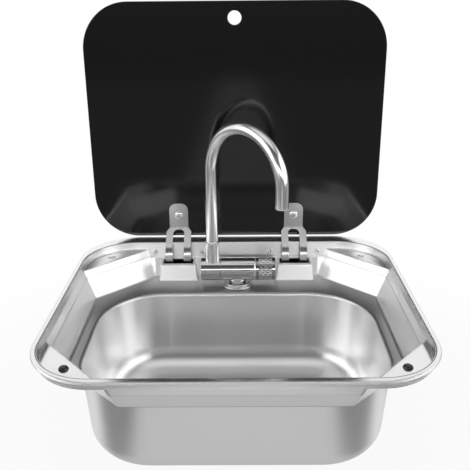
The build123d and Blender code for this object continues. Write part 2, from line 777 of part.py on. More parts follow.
with BuildPart() as tap_body:
    along_x(valve_radius, body_left, body_right, tap_y, tap_z)
    chamfer(tap_body.edges().filter_by(GeomType.CIRCLE), valve_edge)
    along_x(journal_radius, journal_left, body_left, tap_y, tap_z)
    chamfer(tap_body.edges().group_by(Axis.X)[0], valve_edge)
    upright(neck_diameter / 2, neck_foot_z, tap_z, tap_x, tap_y)
    upright(shank_radius, shank_foot, tap_z, tap_x, tap_y)
    chamfer(tap_body.edges().group_by(Axis.Z)[0], valve_edge)
    for seal in (-seal_offset, seal_offset):
        seal_left = collar_x + seal - seal_width_journal / 2
        with BuildSketch(Plane.YZ.offset(seal_left)):
            with Locations((tap_y, tap_z)):
                Circle(journal_radius + running_gap)
                Circle(journal_radius - seal_depth_journal, mode=Mode.SUBTRACT)
        extrude(amount=seal_width_journal, mode=Mode.SUBTRACT)
    along_x(disc_radius + hole_gap, pocket_floor, body_right, tap_y, tap_z, Mode.SUBTRACT)
    along_x(outlet_bore / 2, journal_left + outlet_end, body_right, tap_y, tap_z, Mode.SUBTRACT)
    journal_foot, journal_crown = tap_z - journal_radius, tap_z + journal_radius
    upright(outlet_bore / 2, journal_foot, journal_crown, collar_x, tap_y, Mode.SUBTRACT)
    along_x(inlet_bore / 2, tap_x, body_right, tap_y, inlet_z, Mode.SUBTRACT)
    upright(shank_bore / 2, shank_foot, inlet_z, tap_x, tap_y, Mode.SUBTRACT)
    spigot_top = shank_foot + nozzle_spigot_length + slide_gap
    upright(nozzle_spigot / 2 + thread_gap, shank_foot, spigot_top, tap_x, tap_y, Mode.SUBTRACT)
tap_body.part.label = "tap_body"
export_step(tap_body.part, "parts/tap_body.step")

with BuildPart() as journal_rings:
    for seal in (-seal_offset, seal_offset):
        seal_left = collar_x + seal - seal_width_journal / 2 + seal_slack
        seal_right = seal_left + seal_width_journal - 2 * seal_slack
        groove_floor = journal_radius - seal_depth_journal + thread_gap
        along_x(journal_radius, seal_left, seal_right, tap_y, tap_z)
        along_x(groove_floor, seal_left, seal_right, tap_y, tap_z, Mode.SUBTRACT)
journal_rings.part.label = "journal_rings"
export_step(journal_rings.part, "parts/journal_rings.step")

with BuildPart() as tap_under_washer:
    upright(under_washer_diameter / 2, washer_foot, under_ledge, tap_x, tap_y)
    upright(shank_radius + hole_gap, washer_foot, under_ledge, tap_x, tap_y, Mode.SUBTRACT)
tap_under_washer.part.label = "tap_under_washer"
export_step(tap_under_washer.part, "parts/tap_under_washer.step")

with BuildPart() as tap_lock_nut:
    with BuildSketch(Plane.XY.offset(washer_foot)):
        with Locations((tap_x, tap_y)):
            RegularPolygon(lock_nut_flats / 2, 6, major_radius=False)
            Circle(shank_radius + thread_gap, mode=Mode.SUBTRACT)
    extrude(amount=-lock_nut_height)
tap_lock_nut.part.label = "tap_lock_nut"
export_step(tap_lock_nut.part, "parts/tap_lock_nut.step")

flange_foot = shank_foot - nozzle_flange_height
nozzle_foot = flange_foot - nozzle_length

with BuildPart() as tap_inlet_nozzle:
    with BuildSketch(Plane.XY.offset(shank_foot)):
        with Locations((tap_x, tap_y)):
            RegularPolygon(nozzle_flange / 2, 6, major_radius=False)
    extrude(amount=-nozzle_flange_height)
    upright(nozzle_spigot / 2, shank_foot, shank_foot + nozzle_spigot_length, tap_x, tap_y)
    upright(nozzle_diameter / 2, nozzle_foot, flange_foot, tap_x, tap_y)
    chamfer(tap_inlet_nozzle.edges().group_by(Axis.Z)[0], nozzle_edge)
    bore_top = shank_foot + nozzle_spigot_length
    upright(nozzle_bore / 2, nozzle_foot, bore_top, tap_x, tap_y, Mode.SUBTRACT)
tap_inlet_nozzle.part.label = "tap_inlet_nozzle"
export_step(tap_inlet_nozzle.part, "parts/tap_inlet_nozzle.step")

tube_right = ring_right + ring_tube_length

with BuildPart() as tap_ring:
    along_x(valve_radius, body_right, ring_right, tap_y, tap_z)
    along_x(knob_bore / 2 - running_gap, ring_right, tube_right, tap_y, tap_z)
    spindle_hole = spindle_diameter / 2 + running_gap
    along_x(spindle_hole, body_right, tube_right, tap_y, tap_z, Mode.SUBTRACT)
tap_ring.part.label = "tap_ring"
export_step(tap_ring.part, "parts/tap_ring.step")

turn_disc_left = pocket_floor + disc_height + running_gap
turn_disc_right = turn_disc_left + disc_height

with BuildPart() as valve_seat_disc:
    with BuildSketch(Plane.YZ.offset(pocket_floor)):
        with Locations((tap_y, tap_z)):
            Circle(disc_radius)
            Circle(outlet_bore / 2, mode=Mode.SUBTRACT)
        with Locations((tap_y, inlet_z)):
            Circle(inlet_bore / 2, mode=Mode.SUBTRACT)
    extrude(amount=disc_height)
valve_seat_disc.part.label = "valve_seat_disc"
export_step(valve_seat_disc.part, "parts/valve_seat_disc.step")

with BuildPart() as valve_turn_disc:
    along_x(disc_radius, turn_disc_left, turn_disc_right, tap_y, tap_z)
    with BuildSketch(Plane.YZ.offset(turn_disc_left)):
        with Locations((tap_y - inlet_offset / 2, tap_z)):
            SlotCenterToCenter(inlet_offset, inlet_bore)
    extrude(amount=disc_slot_depth, mode=Mode.SUBTRACT)
valve_turn_disc.part.label = "valve_turn_disc"
export_step(valve_turn_disc.part, "parts/valve_turn_disc.step")

cap_left = knob_right - knob_cap_height
web_left = cap_left - knob_web
spindle_right = web_left + spindle_socket

with BuildPart() as knob_sleeve:
    along_x(valve_radius, knob_left, knob_right, tap_y, tap_z)
    ends = knob_sleeve.edges().filter_by(GeomType.CIRCLE)
    chamfer(ends.group_by(Axis.X)[0], valve_edge)
    fillet(knob_sleeve.edges().filter_by(GeomType.CIRCLE).group_by(Axis.X)[-1], knob_edge)
    along_x(knob_bore / 2, knob_left, web_left, tap_y, tap_z, Mode.SUBTRACT)
    along_x(spindle_diameter / 2 + thread_gap, web_left, spindle_right, tap_y, tap_z, Mode.SUBTRACT)
    along_x(knob_cap_diameter / 2 + hole_gap, cap_left, knob_right, tap_y, tap_z, Mode.SUBTRACT)
    with BuildSketch(Plane.YZ.offset(knob_left + flute_start)):
        with Locations((tap_y, tap_z)):
            with PolarLocations(valve_radius + flute_radius - flute_depth, knob_flutes):
                Circle(flute_radius)
    extrude(amount=flute_length, mode=Mode.SUBTRACT)
knob_sleeve.part.label = "knob_sleeve"
export_step(knob_sleeve.part, "parts/knob_sleeve.step")

with BuildPart() as knob_cap:
    along_x(knob_cap_diameter / 2, cap_left, knob_right, tap_y, tap_z)
    chamfer(knob_cap.edges().group_by(Axis.X)[-1], valve_edge)
knob_cap.part.label = "knob_cap"
export_step(knob_cap.part, "parts/knob_cap.step")

with BuildPart() as valve_spindle:
    along_x(spindle_diameter / 2, turn_disc_right, spindle_right, tap_y, tap_z)
valve_spindle.part.label = "valve_spindle"
export_step(valve_spindle.part, "parts/valve_spindle.step")

# ================================================================ folding spout
pipe_radius = pipe_diameter / 2
socket_radius = pipe_radius + running_gap
socket_floor = pipe_foot - slide_gap
groove_radius = pipe_radius - pipe_groove
collar_front = tap_y - collar_diameter / 2

with BuildPart() as spout_sleeve:
    along_x(valve_radius, sleeve_left, body_left - slide_gap, tap_y, tap_z)
    chamfer(spout_sleeve.edges().filter_by(GeomType.CIRCLE), valve_edge)
    bore_left = journal_left - slide_gap
    along_x(journal_radius + running_gap, bore_left, body_left, tap_y, tap_z, Mode.SUBTRACT)
    chamber_left = collar_x - chamber_width / 2
    chamber_right = collar_x + chamber_width / 2
    chamber_radius = journal_radius + chamber_depth
    along_x(chamber_radius, chamber_left, chamber_right, tap_y, tap_z, Mode.SUBTRACT)
    sleeve_crown = tap_z + valve_radius
    upright(collar_water_bore / 2, tap_z, sleeve_crown, collar_x, tap_y, Mode.SUBTRACT)
spout_sleeve.part.label = "spout_sleeve"
export_step(spout_sleeve.part, "parts/spout_sleeve.step")

with BuildPart() as spout_collar:
    upright(collar_diameter / 2, tap_z, collar_top, collar_x, tap_y)
    chamfer(spout_collar.edges().group_by(Axis.Z)[-1], collar_edge)
    along_x(valve_radius + collar_seat_gap, sleeve_left, body_left, tap_y, tap_z, Mode.SUBTRACT)
    upright(collar_water_bore / 2, tap_z, collar_top, collar_x, tap_y, Mode.SUBTRACT)
    upright(socket_radius, socket_floor, collar_top, collar_x, tap_y, Mode.SUBTRACT)
    screw_hole = collar_screw_diameter / 2 + thread_gap
    along_y(screw_hole, collar_front, tap_y, collar_x, collar_screw_z, Mode.SUBTRACT)
spout_collar.part.label = "spout_collar"
export_step(spout_collar.part, "parts/spout_collar.step")

with BuildPart() as collar_screw:
    screw_tip = tap_y - groove_radius - slide_gap
    along_y(collar_screw_diameter / 2, collar_front, screw_tip, collar_x, collar_screw_z)
    screw_front = collar_front - collar_screw_rise
    along_y(collar_screw_head / 2, screw_front, collar_front, collar_x, collar_screw_z)
    fillet(collar_screw.edges().group_by(Axis.Y)[0], collar_screw_rise / 2)
collar_screw.part.label = "collar_screw"
export_step(collar_screw.part, "parts/collar_screw.step")

arch_way = (cos(radians(arch_turn)), sin(radians(arch_turn)))
arch_plane = Plane(
    origin=(collar_x, tap_y, 0), x_dir=(*arch_way, 0), z_dir=(arch_way[1], -arch_way[0], 0)
)
pipe_end_z = pipe_bend_z - pipe_tail
pipe_end_x = collar_x + 2 * arch_radius * arch_way[0]
pipe_end_y = tap_y + 2 * arch_radius * arch_way[1]

with BuildPart() as spout_pipe:
    with BuildLine(arch_plane) as pipe_line:
        Line((0, pipe_foot), (0, pipe_bend_z))
        ThreePointArc(
            (0, pipe_bend_z), (arch_radius, pipe_bend_z + arch_radius), (2 * arch_radius, pipe_bend_z)
        )
        Line((2 * arch_radius, pipe_bend_z), (2 * arch_radius, pipe_end_z))
    with BuildSketch(Plane.XY.offset(pipe_foot)):
        with Locations((collar_x, tap_y)):
            Circle(pipe_radius)
    sweep(path=pipe_line.wire())
    with BuildSketch(Plane.XY.offset(pipe_foot)):
        with Locations((collar_x, tap_y)):
            Circle(pipe_bore / 2)
    sweep(path=pipe_line.wire(), mode=Mode.SUBTRACT)
    for middle, width in ((pipe_seal_z, pipe_seal_width), (collar_screw_z, pipe_groove_width)):
        with BuildSketch(Plane.XY.offset(middle - width / 2)):
            with Locations((collar_x, tap_y)):
                Circle(pipe_diameter)
                Circle(groove_radius, mode=Mode.SUBTRACT)
        extrude(amount=width, mode=Mode.SUBTRACT)
spout_pipe.part.label = "spout_pipe"
export_step(spout_pipe.part, "parts/spout_pipe.step")

with BuildPart() as pipe_ring:
    ring_foot = pipe_seal_z - pipe_seal_width / 2 + seal_slack
    ring_head = pipe_seal_z + pipe_seal_width / 2 - seal_slack
    upright(pipe_radius, ring_foot, ring_head, collar_x, tap_y)
    upright(groove_radius + thread_gap, ring_foot, ring_head, collar_x, tap_y, Mode.SUBTRACT)
pipe_ring.part.label = "pipe_ring"
export_step(pipe_ring.part, "parts/pipe_ring.step")

with BuildPart() as aerator:
    mouth = pipe_end_z - aerator_reach
    insert_radius = pipe_bore / 2 - thread_gap
    upright(aerator_flange / 2, mouth, pipe_end_z, pipe_end_x, pipe_end_y)
    chamfer(aerator.edges().group_by(Axis.Z)[0], aerator_reach / 3)
    upright(insert_radius, pipe_end_z, pipe_end_z + aerator_length, pipe_end_x, pipe_end_y)
    upright(aerator_bore / 2, pipe_end_z, pipe_end_z + aerator_length, pipe_end_x, pipe_end_y, Mode.SUBTRACT)
    with BuildSketch(Plane.XY.offset(mouth)):
        with Locations((pipe_end_x, pipe_end_y)):
            with HexLocations(mesh_pitch / 2, 3, 3):
                Circle(mesh_hole / 2)
    extrude(amount=aerator_reach, mode=Mode.SUBTRACT)
aerator.part.label = "aerator"
export_step(aerator.part, "parts/aerator.step")

# ================================================================ waste
tube_radius = drain_tube / 2
throat_radius = tube_radius - drain_tube_wall
flange_top = dish_floor + drain_flange_sheet
seat_top = flange_top - drain_seat_depth
seat_foot = seat_top - drain_seat_sheet
seat_radius = throat_radius - drain_seat_width
tube_foot = dish_floor - drain_tube_length
dish_under = dish_floor - sheet
nut_top = dish_under - drain_seal_height
nut_foot = nut_top - drain_nut_height
cup_top = nut_foot - slide_gap
cup_radius = tube_radius + hole_gap + cup_wall
tail_top = tube_foot - cup_funnel
tail_foot = tail_top - tail_length

with BuildPart() as drain_flange:
    upright(drain_flange_diameter / 2, dish_floor, flange_top, 0, basin_mid)
    fillet(drain_flange.edges().group_by(Axis.Z)[-1], drain_flange_sheet * 0.6)
    upright(tube_radius, tube_foot, dish_floor, 0, basin_mid)
    upright(throat_radius, tube_foot, flange_top, 0, basin_mid, Mode.SUBTRACT)
    upright(throat_radius, seat_foot, seat_top, 0, basin_mid)
    upright(seat_radius, seat_foot, seat_top, 0, basin_mid, Mode.SUBTRACT)
    with Locations((0, basin_mid, seat_foot)):
        Box(2 * seat_radius + drain_bar, drain_bar, drain_seat_sheet, align=on_base)
        Box(drain_bar, 2 * seat_radius + drain_bar, drain_seat_sheet, align=on_base)
drain_flange.part.label = "drain_flange"
export_step(drain_flange.part, "parts/drain_flange.step")

with BuildPart() as drain_seal:
    seal_hole = tube_radius + hole_gap
    upright(seal_hole + drain_seal_width, nut_top, dish_under, 0, basin_mid)
    upright(seal_hole, nut_top, dish_under, 0, basin_mid, Mode.SUBTRACT)
drain_seal.part.label = "drain_seal"
export_step(drain_seal.part, "parts/drain_seal.step")

with BuildPart() as drain_nut:
    nut_radius = tube_radius + drain_nut_wall
    upright(nut_radius, nut_foot, nut_top, 0, basin_mid)
    with Locations((0, basin_mid, nut_foot)):
        with PolarLocations(nut_radius, drain_nut_lugs):
            Box(2 * drain_lug_rise, drain_lug_width, drain_nut_height, align=on_base)
    upright(tube_radius + thread_gap, nut_foot, nut_top, 0, basin_mid, Mode.SUBTRACT)
drain_nut.part.label = "drain_nut"
export_step(drain_nut.part, "parts/drain_nut.step")

with BuildPart() as drain_body:
    upright(cup_radius, tube_foot, cup_top, 0, basin_mid)
    with Locations((0, basin_mid, tail_top)):
        Cone(tail_diameter / 2, cup_radius, cup_funnel, align=on_base)
    upright(tail_diameter / 2, tail_foot, tail_top, 0, basin_mid)
    chamfer(drain_body.edges().group_by(Axis.Z)[0], tail_edge)
    upright(tube_radius + thread_gap, tube_foot, cup_top, 0, basin_mid, Mode.SUBTRACT)
    with Locations((0, basin_mid, tail_top)):
        Cone(tail_bore / 2, throat_radius, cup_funnel, align=on_base, mode=Mode.SUBTRACT)
    upright(tail_bore / 2, tail_foot, tail_top, 0, basin_mid, Mode.SUBTRACT)
drain_body.part.label = "drain_body"
export_step(drain_body.part, "parts/drain_body.step")

plug_radius = throat_radius - plug_gap
plug_foot = seat_top + running_gap
plug_disc_foot = plug_foot + plug_seal_height
plug_disc_top = plug_disc_foot + plug_disc_height
pull_top = plug_disc_top + plug_pull_height

with BuildPart() as plug_seal:
    upright(plug_radius, plug_foot, plug_disc_foot, 0, basin_mid)
plug_seal.part.label = "plug_seal"
export_step(plug_seal.part, "parts/plug_seal.step")

with BuildPart() as plug_disc:
    upright(plug_radius, plug_disc_foot, plug_disc_top, 0, basin_mid)
    fillet(plug_disc.edges().group_by(Axis.Z)[-1], plug_disc_height / 2)
plug_disc.part.label = "plug_disc"
export_step(plug_disc.part, "parts/plug_disc.step")

with BuildPart() as plug_pull:
    upright(plug_pull_waist / 2, plug_disc_top, pull_top, 0, basin_mid)
    upright(plug_pull_diameter / 2, pull_top - plug_pull_cap, pull_top, 0, basin_mid)
    fillet(plug_pull.edges().group_by(Axis.Z)[-1], plug_pull_cap / 3)
plug_pull.part.label = "plug_pull"
export_step(plug_pull.part, "parts/plug_pull.step")
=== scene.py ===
import math

import bmesh
import bpy
from mathutils import Matrix, Vector


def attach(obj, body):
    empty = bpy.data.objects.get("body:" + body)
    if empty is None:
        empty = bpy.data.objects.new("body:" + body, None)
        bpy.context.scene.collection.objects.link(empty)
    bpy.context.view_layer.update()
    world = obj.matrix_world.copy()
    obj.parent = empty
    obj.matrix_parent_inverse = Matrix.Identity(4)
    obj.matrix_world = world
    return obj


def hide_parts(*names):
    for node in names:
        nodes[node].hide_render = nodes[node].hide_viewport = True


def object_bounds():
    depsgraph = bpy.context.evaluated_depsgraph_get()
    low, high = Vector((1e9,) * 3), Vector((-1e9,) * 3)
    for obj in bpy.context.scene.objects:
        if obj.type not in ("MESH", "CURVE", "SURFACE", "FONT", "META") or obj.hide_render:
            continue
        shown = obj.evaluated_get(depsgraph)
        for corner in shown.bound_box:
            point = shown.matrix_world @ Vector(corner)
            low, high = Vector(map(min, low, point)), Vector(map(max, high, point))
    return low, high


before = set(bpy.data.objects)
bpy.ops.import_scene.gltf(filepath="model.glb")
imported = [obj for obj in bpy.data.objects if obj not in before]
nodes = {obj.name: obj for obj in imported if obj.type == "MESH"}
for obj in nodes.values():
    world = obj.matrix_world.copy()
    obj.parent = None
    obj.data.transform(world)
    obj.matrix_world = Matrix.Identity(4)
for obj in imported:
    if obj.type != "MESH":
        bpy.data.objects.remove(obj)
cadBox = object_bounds()
print("frame loaded:", len(nodes), "nodes")


# camera, set from the photograph
cameraView = {
    "place": (0.00507, -0.68947, 0.34927),
    "pitch": 21.54,  # degrees below the horizon
    "turn": 0.453,
    "roll": -0.520,
    "focal": 49.38,  # mm on a sensor 36 mm wide
    "sensor": 36.0,
}


def addCamera(view):
    pitch, turn, roll = (math.radians(view[k]) for k in ("pitch", "turn", "roll"))
    right = Vector((math.cos(turn), math.sin(turn), 0))
    ahead = Vector((-math.sin(turn) * math.cos(pitch), math.cos(turn) * math.cos(pitch), -math.sin(pitch)))
    up = right.cross(ahead)
    rolledRight = right * math.cos(roll) + up * math.sin(roll)
    rolledUp = up * math.cos(roll) - right * math.sin(roll)
    data = bpy.data.cameras.new("photoCamera")
    data.sensor_width = view["sensor"]
    data.lens = view["focal"]
    camera = bpy.data.objects.new("photoCamera", data)
    turned = Matrix((rolledRight, rolledUp, -ahead)).transposed().to_4x4()
    camera.matrix_world = Matrix.Translation(view["place"]) @ turned
    bpy.context.scene.collection.objects.link(camera)
    bpy.context.scene.camera = camera


addCamera(cameraView)


def mathNode(tree, kind, first, second):
    node = tree.nodes.new("ShaderNodeMath")
    node.operation = kind
    for socket, value in zip(node.inputs, (first, second)):
        if isinstance(value, (int, float)):
            socket.default_value = value
        else:
            tree.links.new(value, socket)
    return node.outputs[0]


def ramp(tree, value, low, high, start, end):
    # smooth change from start to end while value goes from low to high
    node = tree.nodes.new("ShaderNodeMapRange")
    node.interpolation_type = "SMOOTHSTEP"
    tree.links.new(value, node.inputs["Value"])
    for label, number in (("From Min", low), ("From Max", high), ("To Min", start), ("To Max", end)):
        node.inputs[label].default_value = number
    return node.outputs["Result"]


def bandMask(tree, value, edges):
    # 1 between the two middle edges, 0 outside the outer ones
    rising = ramp(tree, value, edges[0], edges[1], 0.0, 1.0)
    return mathNode(tree, "MULTIPLY", rising, ramp(tree, value, edges[2], edges[3], 1.0, 0.0))


def lightTo(tree, strength):
    # an even light of the given strength, in the world or in a material
    inWorld = tree == bpy.context.scene.world.node_tree
    node = tree.nodes.new("ShaderNodeBackground" if inWorld else "ShaderNodeEmission")
    node.inputs["Color"].default_value = (1, 1, 1, 1)
    if isinstance(strength, (int, float)):
        node.inputs["Strength"].default_value = strength
    else:
        tree.links.new(strength, node.inputs["Strength"])
    return node.outputs[0]


def mixShaders(tree, factor, first, second):
    node = tree.nodes.new("ShaderNodeMixShader")
    tree.links.new(factor, node.inputs["Fac"])
    tree.links.new(first, node.inputs[1])
    tree.links.new(second, node.inputs[2])
    return node.outputs[0]


def newMaterial(name):
    material = bpy.data.materials.new(name)
    material.use_nodes = True
    return material, material.node_tree, material.node_tree.nodes["Principled BSDF"]


# a white backdrop behind the sink, a darker room in front and above, bright sides
room = {
    "fill": 0.4,  # what dull surfaces get from the world
    "front": 0.16,  # what gloss sees behind the camera, the backdrop being 1
    "sides": 0.95,
    "top": 0.3,
    # a direction's Y, Z or X where each of them fades in or out
    "backdropAt": (-0.1, 0.3),
    "wallsEndAt": (0.5, 0.85),
    "topAt": (0.7, 0.95),
    "sidesAt": (0.35, 0.6),
}


def addWorld(r):
    world = bpy.data.worlds.new("studioWorld")
    bpy.context.scene.world = world
    world.use_nodes = True
    tree = world.node_tree
    tree.nodes.clear()
    output = tree.nodes.new("ShaderNodeOutputWorld")
    path = tree.nodes.new("ShaderNodeLightPath")
    way = tree.nodes.new("ShaderNodeSeparateXYZ")
    tree.links.new(tree.nodes.new("ShaderNodeTexCoord").outputs["Generated"], way.inputs[0])
    backdrop = ramp(tree, way.outputs[1], *r["backdropAt"], r["front"], 1.0)
    below = ramp(tree, way.outputs[2], *r["wallsEndAt"], 1.0, 0.0)
    walls = mathNode(tree, "MULTIPLY", backdrop, below)
    above = ramp(tree, way.outputs[2], *r["topAt"], 0.0, r["top"])
    glow = ramp(tree, mathNode(tree, "ABSOLUTE", way.outputs[0], 0.0), *r["sidesAt"], 0.0, r["sides"])
    beside = mathNode(tree, "MULTIPLY", glow, below)
    seen = mathNode(tree, "ADD", mathNode(tree, "MAXIMUM", walls, beside), above)
    gloss = mathNode(tree, "MAXIMUM", path.outputs["Is Glossy Ray"], path.outputs["Is Transmission Ray"])
    mixed = mixShaders(tree, gloss, lightTo(tree, r["fill"]), lightTo(tree, seen))
    final = mixShaders(tree, path.outputs["Is Camera Ray"], mixed, lightTo(tree, 1.0))
    tree.links.new(final, output.inputs["Surface"])


addWorld(room)

# soft boxes, all turned towards the sink's middle
softBoxes = {
    "frontBox": {"place": (0.0, -2.6, 0.76), "size": (3.2, 0.22), "power": 16.0},
    "topBox": {"place": (0.0, -0.1, 1.4), "size": (1.6, 1.0), "power": 2.5},
    "leftBox": {"place": (-1.2, -0.45, 0.55), "size": (1.3, 1.1), "power": 4.5},
    "rightBox": {"place": (1.2, -0.45, 0.55), "size": (1.3, 1.1), "power": 4.5},
}


def addLamp(name, lamp):
    data = bpy.data.lights.new(name, "AREA")
    data.shape = "RECTANGLE"
    data.size, data.size_y = lamp["size"]
    data.energy = lamp["power"]
    lampObject = bpy.data.objects.new(name, data)
    lampObject.location = lamp["place"]
    way = -Vector(lamp["place"])
    lampObject.rotation_euler = way.to_track_quat("-Z", "Y").to_euler()
    bpy.context.scene.collection.objects.link(lampObject)


for boxName, box in softBoxes.items():
    addLamp(boxName, box)

# pale paper floor: it goes over into the white backdrop for the eye; gloss sees it as a painted glow, grey,
# with darker strips and bright patches beside the sink
floorPaper = {
    "size": 12.0,
    "gap": 0.002,  # below the sink
    "colour": (0.86, 0.86, 0.86, 1.0),
    "rough": 0.9,
    "gloss": 0.1,
    "near": 0.9,  # how far it is whitened close to the sink
    "whiteAt": (0.3, 0.75),
    "front": 0.56,  # what gloss sees of it in front and behind
    "back": 0.5,
    "frontToBack": (-0.5, 0.25),
    "strips": 0.42,  # painted darker strips off the middle, seen only in reflections
    "stripsAt": (0.14, 0.22),
    "beside": 0.52,  # painted bright patches at the sink's left and right, seen only in reflections
    "besideAt": (-0.16, -0.04, 0.04, 0.14),
}


def makeFloorPaper(f):
    material, tree, paper = newMaterial("floorPaper")
    paper.inputs["Base Color"].default_value = f["colour"]
    paper.inputs["Roughness"].default_value = f["rough"]
    paper.inputs["Specular IOR Level"].default_value = f["gloss"]
    path = tree.nodes.new("ShaderNodeLightPath")
    coords = tree.nodes.new("ShaderNodeTexCoord")
    place = tree.nodes.new("ShaderNodeSeparateXYZ")
    tree.links.new(coords.outputs["Object"], place.inputs[0])
    reach = tree.nodes.new("ShaderNodeVectorMath")
    reach.operation = "LENGTH"
    tree.links.new(coords.outputs["Object"], reach.inputs[0])
    whitened = ramp(tree, reach.outputs["Value"], *f["whiteAt"], f["near"], 1.0)
    byEye = mathNode(tree, "MULTIPLY", path.outputs["Is Camera Ray"], whitened)
    gloss = mathNode(tree, "MAXIMUM", path.outputs["Is Glossy Ray"], path.outputs["Is Transmission Ray"])
    offMiddle = mathNode(tree, "ABSOLUTE", place.outputs[0], 0.0)
    strips = ramp(tree, offMiddle, *f["stripsAt"], 1.0, f["strips"])
    level = ramp(tree, place.outputs[1], *f["frontToBack"], f["front"], f["back"])
    patches = ramp(tree, offMiddle, *f["stripsAt"], 0.0, f["beside"])
    beside = mathNode(tree, "MULTIPLY", patches, bandMask(tree, place.outputs[1], f["besideAt"]))
    # painted glow for reflections only: darker strips off the middle, bright patches beside the sink
    glossLevel = mathNode(tree, "ADD", mathNode(tree, "MULTIPLY", level, strips), beside)
    seen = mixShaders(tree, byEye, paper.outputs[0], lightTo(tree, 1.0))
    final = mixShaders(tree, gloss, seen, lightTo(tree, glossLevel))
    tree.links.new(final, tree.nodes["Material Output"].inputs["Surface"])
    return material


def addFloor(f):
    mesh = bpy.data.meshes.new("studioFloor")
    shape = bmesh.new()
    bmesh.ops.create_grid(shape, x_segments=1, y_segments=1, size=f["size"] / 2)
    bmesh.ops.translate(shape, verts=shape.verts, vec=(0, 0, cadBox[0][2] - f["gap"]))
    shape.to_mesh(mesh)
    shape.free()
    floor = bpy.data.objects.new("studioFloor", mesh)
    bpy.context.scene.collection.objects.link(floor)
    mesh.materials.append(makeFloorPaper(f))


addFloor(floorPaper)
print("studio ready")


def newGroup(name, numberInputs, outputs):
    group = bpy.data.node_groups.new(name, "ShaderNodeTree")
    for label, value in numberInputs.items():
        socket = group.interface.new_socket(label, in_out="INPUT", socket_type="NodeSocketFloat")
        socket.default_value = value
    for label in outputs:
        group.interface.new_socket(label, in_out="OUTPUT", socket_type="NodeSocketFloat")
    return group, group.nodes.new("NodeGroupInput"), group.nodes.new("NodeGroupOutput")


def placeGroup(tree, group, values):
    node = tree.nodes.new("ShaderNodeGroup")
    node.node_tree = group
    for label, value in values.items():
        node.inputs[label].default_value = value
    return node


def noiseAt(tree, vector, detail):
    node = tree.nodes.new("ShaderNodeTexNoise")
    node.inputs["Scale"].default_value = 1.0
    node.inputs["Detail"].default_value = detail
    tree.links.new(vector, node.inputs["Vector"])
    return node.outputs["Fac"]


def stretched(tree, vector, x, y, z):
    # coordinates scaled by three values or sockets
    scale = tree.nodes.new("ShaderNodeCombineXYZ")
    for socket, value in zip(scale.inputs, (x, y, z)):
        if isinstance(value, (int, float)):
            socket.default_value = value
        else:
            tree.links.new(value, socket)
    product = tree.nodes.new("ShaderNodeVectorMath")
    product.operation = "MULTIPLY"
    tree.links.new(vector, product.inputs[0])
    tree.links.new(scale.outputs[0], product.inputs[1])
    return product.outputs[0]


grainDepth = 0.0002
grainTurnsAt = (0.3, 0.9)  # how far a face looks to the front where its lines are spaced by height
noiseSpan = (0.3, 0.7)  # where nearly all values of a noise lie


def makeSheetGrain():
    # rolling lines of the sheet: along X on the flats and on the front and back walls
    group, given, result = newGroup("sheetGrain", {"Along": 14.0, "Across": 1500.0}, ("Height",))
    coords = group.nodes.new("ShaderNodeTexCoord")
    place = group.nodes.new("ShaderNodeSeparateXYZ")
    facing = group.nodes.new("ShaderNodeSeparateXYZ")
    group.links.new(coords.outputs["Object"], place.inputs[0])
    group.links.new(coords.outputs["Normal"], facing.inputs[0])
    upright = ramp(group, mathNode(group, "ABSOLUTE", facing.outputs[1], 0.0), *grainTurnsAt, 0.0, 1.0)
    drop = mathNode(group, "MULTIPLY", place.outputs[2], upright)
    across = mathNode(group, "ADD", place.outputs[1], drop)
    spread = group.nodes.new("ShaderNodeCombineXYZ")
    group.links.new(place.outputs[0], spread.inputs[0])
    group.links.new(across, spread.inputs[1])
    lines = stretched(group, spread.outputs[0], given.outputs["Along"], given.outputs["Across"], 1.0)
    group.links.new(noiseAt(group, lines, 2.0), result.inputs["Height"])
    return group


def makeTurnedGrain():
    # fine grain of a polished or plated surface, with its own scale along each axis
    group, given, result = newGroup("turnedGrain", {"X": 600.0, "Y": 600.0, "Z": 600.0}, ("Height",))
    coords = group.nodes.new("ShaderNodeTexCoord")
    scales = (given.outputs[axis] for axis in "XYZ")
    vector = stretched(group, coords.outputs["Object"], *scales)
    group.links.new(noiseAt(group, vector, 2.0), result.inputs["Height"])
    return group


def makePatches():
    # slow patches, for handling marks and changes of finish
    group, given, result = newGroup("slowPatches", {"Scale": 12.0, "Low": 0.3, "High": 0.4}, ("Value",))
    coords = group.nodes.new("ShaderNodeTexCoord")
    noise = group.nodes.new("ShaderNodeTexNoise")
    noise.inputs["Detail"].default_value = 3.0
    group.links.new(coords.outputs["Object"], noise.inputs["Vector"])
    group.links.new(given.outputs["Scale"], noise.inputs["Scale"])
    spread = group.nodes.new("ShaderNodeMapRange")
    spread.inputs["From Min"].default_value, spread.inputs["From Max"].default_value = noiseSpan
    group.links.new(noise.outputs["Fac"], spread.inputs["Value"])
    group.links.new(given.outputs["Low"], spread.inputs["To Min"])
    group.links.new(given.outputs["High"], spread.inputs["To Max"])
    group.links.new(spread.outputs["Result"], result.inputs["Value"])
    return group


sheetGrain = makeSheetGrain()
turnedGrain = makeTurnedGrain()
slowPatches = makePatches()


def addBump(tree, height, strength, distance, normal=None):
    bump = tree.nodes.new("ShaderNodeBump")
    bump.inputs["Strength"].default_value = strength
    bump.inputs["Distance"].default_value = distance
    tree.links.new(height, bump.inputs["Height"])
    if normal:
        tree.links.new(normal, bump.inputs["Normal"])
    return bump.outputs["Normal"]


